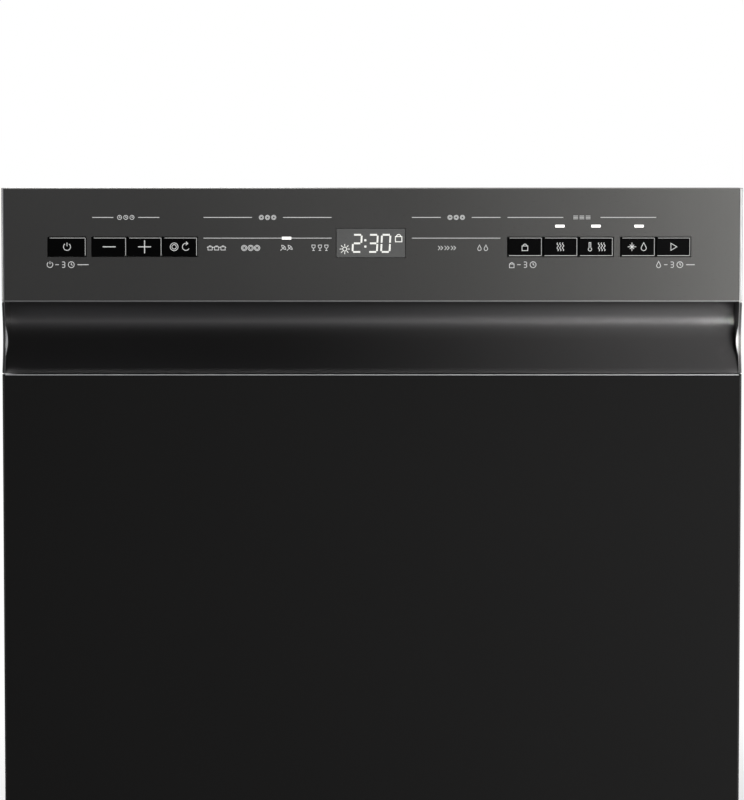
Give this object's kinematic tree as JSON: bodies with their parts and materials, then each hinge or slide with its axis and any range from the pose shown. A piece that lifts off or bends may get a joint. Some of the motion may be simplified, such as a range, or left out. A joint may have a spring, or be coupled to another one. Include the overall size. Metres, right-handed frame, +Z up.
{
  "type": "built-in dishwasher",
  "caption": "Front-control built-in dishwasher with a drop-down door, full-width pocket handle, key row and display, racks, spray arms and base tray",
  "frame": {"origin": "on the floor under the middle of the machine's outline", "axes": "+Z up, -Y out of the door front, +X to the right as seen from the front"},
  "size_m": [0.598, 0.62, 0.852],
  "materials": {
    "black_steel": "black coated stainless sheet, vertical grain, satin",
    "fascia_steel": "black coated stainless, horizontal grain, satin",
    "pocket_plastic": "smooth black, satin",
    "display_glass": "smoked grey window",
    "button_black": "gloss black",
    "stainless": "brushed",
    "galvanised_steel": "zinc coated, dull",
    "seal_rubber": "grey rubber",
    "blanket_felt": "black bitumen felt",
    "dark_plastic": "moulded, fine texture",
    "grey_plastic": "moulded grey",
    "white_plastic": "moulded off-white",
    "heater_steel": "oxidised nickel alloy",
    "rack_coating": "nylon-coated wire"
  },
  "bodies": {
    "cabinet": {"tub": "stainless", "tub_gasket": "seal_rubber", "base_frame": "dark_plastic", "sound_blanket": "blanket_felt", "steel_frame": "galvanised_steel", "toe_kick": "black_steel", "sump": "dark_plastic", "filter_plate": "stainless", "wash_pump": "dark_plastic", "drain_pump": "dark_plastic", "heating_element": "heater_steel", "inlet_valve": "white_plastic", "junction_box": "galvanised_steel", "feed_tube": "grey_plastic", "latch_strike": "stainless", "rail_guide_left": "stainless", "rail_guide_right": "stainless", "door_spring_left": "galvanised_steel", "door_spring_right": "galvanised_steel"},
    "door": {"door_panel": "black_steel", "control_panel": "fascia_steel", "handle_pocket": "pocket_plastic", "door_liner": "stainless", "door_pad": "blanket_felt", "display_window": "display_glass", "control_module": "white_plastic", "door_latch": "dark_plastic", "dispenser_body": "grey_plastic", "vent_cover": "grey_plastic", "hinge_arm_left": "galvanised_steel", "hinge_arm_right": "galvanised_steel"},
    "lower_rack": {"lower_rack": "rack_coating"},
    "upper_rack": {"upper_rack": "rack_coating", "rack_manifold": "grey_plastic"},
    "rail_left": {"rail_left": "stainless"},
    "rail_right": {"rail_right": "stainless"},
    "silverware_basket": {"silverware_basket": "grey_plastic"},
    "lower_spray_arm": {"lower_spray_arm": "grey_plastic"},
    "upper_spray_arm": {"upper_spray_arm": "grey_plastic"},
    "filter_cup": {"filter_cup": "grey_plastic"},
    "float_dome": {"float_dome": "grey_plastic"},
    "dispenser_lid": {"dispenser_lid": "grey_plastic"},
    "rinse_cap": {"rinse_cap": "dark_plastic"},
    "foot_front_left": {"foot_front_left": "dark_plastic"},
    "foot_front_right": {"foot_front_right": "dark_plastic"},
    "foot_rear_left": {"foot_rear_left": "dark_plastic"},
    "foot_rear_right": {"foot_rear_right": "dark_plastic"},
    "wheel_front_left": {"wheel_front_left": "grey_plastic"},
    "wheel_front_right": {"wheel_front_right": "grey_plastic"},
    "wheel_rear_left": {"wheel_rear_left": "grey_plastic"},
    "wheel_rear_right": {"wheel_rear_right": "grey_plastic"},
    "button_power": {"button_power": "button_black"},
    "button_delay_minus": {"button_delay_minus": "button_black"},
    "button_delay_plus": {"button_delay_plus": "button_black"},
    "button_cycles": {"button_cycles": "button_black"},
    "button_control_lock": {"button_control_lock": "button_black"},
    "button_heated_dry": {"button_heated_dry": "button_black"},
    "button_high_temperature": {"button_high_temperature": "button_black"},
    "button_sanitize": {"button_sanitize": "button_black"},
    "button_start": {"button_start": "button_black"}
  },
  "joints": [
    {"name": "door_hinge", "type": "hinge", "parent": "cabinet", "child": "door", "pos_m": [0, -0.262, 0.13], "axis": [1, 0, 0], "range_deg": [0, 90], "stiffness_Nm_per_rad": 18, "deforming": ["door_spring_left", "door_spring_right"]},
    {"name": "lower_rack_slide", "type": "slide", "parent": "cabinet", "child": "lower_rack", "axis": [0, -1, 0], "range_m": [0, 0.11]},
    {"name": "upper_rack_slide", "type": "slide", "parent": "cabinet", "child": "upper_rack", "axis": [0, -1, 0], "range_m": [0, 0.45]},
    {"name": "rail_left_slide", "type": "slide", "parent": "cabinet", "child": "rail_left", "axis": [0, -1, 0], "range_m": [0, 0.225]},
    {"name": "rail_right_slide", "type": "slide", "parent": "cabinet", "child": "rail_right", "axis": [0, -1, 0], "range_m": [0, 0.225]},
    {"name": "lower_spray_arm_spin", "type": "hinge", "parent": "cabinet", "child": "lower_spray_arm", "pos_m": [0, 0.0276, 0.158], "axis": [0, 0, 1], "continuous": true},
    {"name": "upper_spray_arm_spin", "type": "hinge", "parent": "upper_rack", "child": "upper_spray_arm", "pos_m": [0, 0.0276, 0.403], "axis": [0, 0, 1], "continuous": true},
    {"name": "silverware_basket_lift", "type": "slide", "parent": "lower_rack", "child": "silverware_basket", "axis": [0, 0, 1], "range_m": [0, 0.035]},
    {"name": "wheel_front_left_spin", "type": "hinge", "parent": "lower_rack", "child": "wheel_front_left", "pos_m": [-0.249, -0.148, 0.1628], "axis": [1, 0, 0], "continuous": true},
    {"name": "wheel_front_right_spin", "type": "hinge", "parent": "lower_rack", "child": "wheel_front_right", "pos_m": [0.249, -0.148, 0.1628], "axis": [1, 0, 0], "continuous": true},
    {"name": "wheel_rear_left_spin", "type": "hinge", "parent": "lower_rack", "child": "wheel_rear_left", "pos_m": [-0.249, 0.1822, 0.1628], "axis": [1, 0, 0], "continuous": true},
    {"name": "wheel_rear_right_spin", "type": "hinge", "parent": "lower_rack", "child": "wheel_rear_right", "pos_m": [0.249, 0.1822, 0.1628], "axis": [1, 0, 0], "continuous": true},
    {"name": "filter_cup_turn", "type": "hinge", "parent": "cabinet", "child": "filter_cup", "pos_m": [0, -0.0364, 0.1], "axis": [0, 0, 1], "range_deg": [0, 90]},
    {"name": "float_lift", "type": "slide", "parent": "cabinet", "child": "float_dome", "axis": [0, 0, 1], "range_m": [0, 0.008]},
    {"name": "dispenser_lid_slide", "type": "slide", "parent": "door", "child": "dispenser_lid", "axis": [0, 0, -1], "range_m": [0, 0.084]},
    {"name": "rinse_cap_turn", "type": "hinge", "parent": "door", "child": "rinse_cap", "pos_m": [0.03, -0.2516, 0.47], "axis": [0, -1, 0], "range_deg": [0, 90]},
    {"name": "button_power_press", "type": "slide", "parent": "door", "child": "button_power", "axis": [0, 1, 0], "range_m": [0, 0.0015], "stiffness_N_per_m": 400},
    {"name": "button_delay_minus_press", "type": "slide", "parent": "door", "child": "button_delay_minus", "axis": [0, 1, 0], "range_m": [0, 0.0015], "stiffness_N_per_m": 400},
    {"name": "button_delay_plus_press", "type": "slide", "parent": "door", "child": "button_delay_plus", "axis": [0, 1, 0], "range_m": [0, 0.0015], "stiffness_N_per_m": 400},
    {"name": "button_cycles_press", "type": "slide", "parent": "door", "child": "button_cycles", "axis": [0, 1, 0], "range_m": [0, 0.0015], "stiffness_N_per_m": 400},
    {"name": "button_control_lock_press", "type": "slide", "parent": "door", "child": "button_control_lock", "axis": [0, 1, 0], "range_m": [0, 0.0015], "stiffness_N_per_m": 400},
    {"name": "button_heated_dry_press", "type": "slide", "parent": "door", "child": "button_heated_dry", "axis": [0, 1, 0], "range_m": [0, 0.0015], "stiffness_N_per_m": 400},
    {"name": "button_high_temperature_press", "type": "slide", "parent": "door", "child": "button_high_temperature", "axis": [0, 1, 0], "range_m": [0, 0.0015], "stiffness_N_per_m": 400},
    {"name": "button_sanitize_press", "type": "slide", "parent": "door", "child": "button_sanitize", "axis": [0, 1, 0], "range_m": [0, 0.0015], "stiffness_N_per_m": 400},
    {"name": "button_start_press", "type": "slide", "parent": "door", "child": "button_start", "axis": [0, 1, 0], "range_m": [0, 0.0015], "stiffness_N_per_m": 400},
    {"name": "foot_front_left_turn", "type": "hinge", "parent": "cabinet", "child": "foot_front_left", "pos_m": [-0.25, -0.205, 0.05], "axis": [0, 0, 1], "continuous": true},
    {"name": "foot_front_right_turn", "type": "hinge", "parent": "cabinet", "child": "foot_front_right", "pos_m": [0.25, -0.205, 0.05], "axis": [0, 0, 1], "continuous": true},
    {"name": "foot_rear_left_turn", "type": "hinge", "parent": "cabinet", "child": "foot_rear_left", "pos_m": [-0.25, 0.2702, 0.05], "axis": [0, 0, 1], "continuous": true},
    {"name": "foot_rear_right_turn", "type": "hinge", "parent": "cabinet", "child": "foot_rear_right", "pos_m": [0.25, 0.2702, 0.05], "axis": [0, 0, 1], "continuous": true}
  ],
  "couplings": [
    {"joint": "lower_rack_slide", "follows": "door_hinge", "m_per_rad": 0.07},
    {"joint": "upper_rack_slide", "follows": "door_hinge", "m_per_rad": 0.286},
    {"joint": "rail_left_slide", "follows": "door_hinge", "m_per_rad": 0.143},
    {"joint": "rail_right_slide", "follows": "door_hinge", "m_per_rad": 0.143}
  ]
}
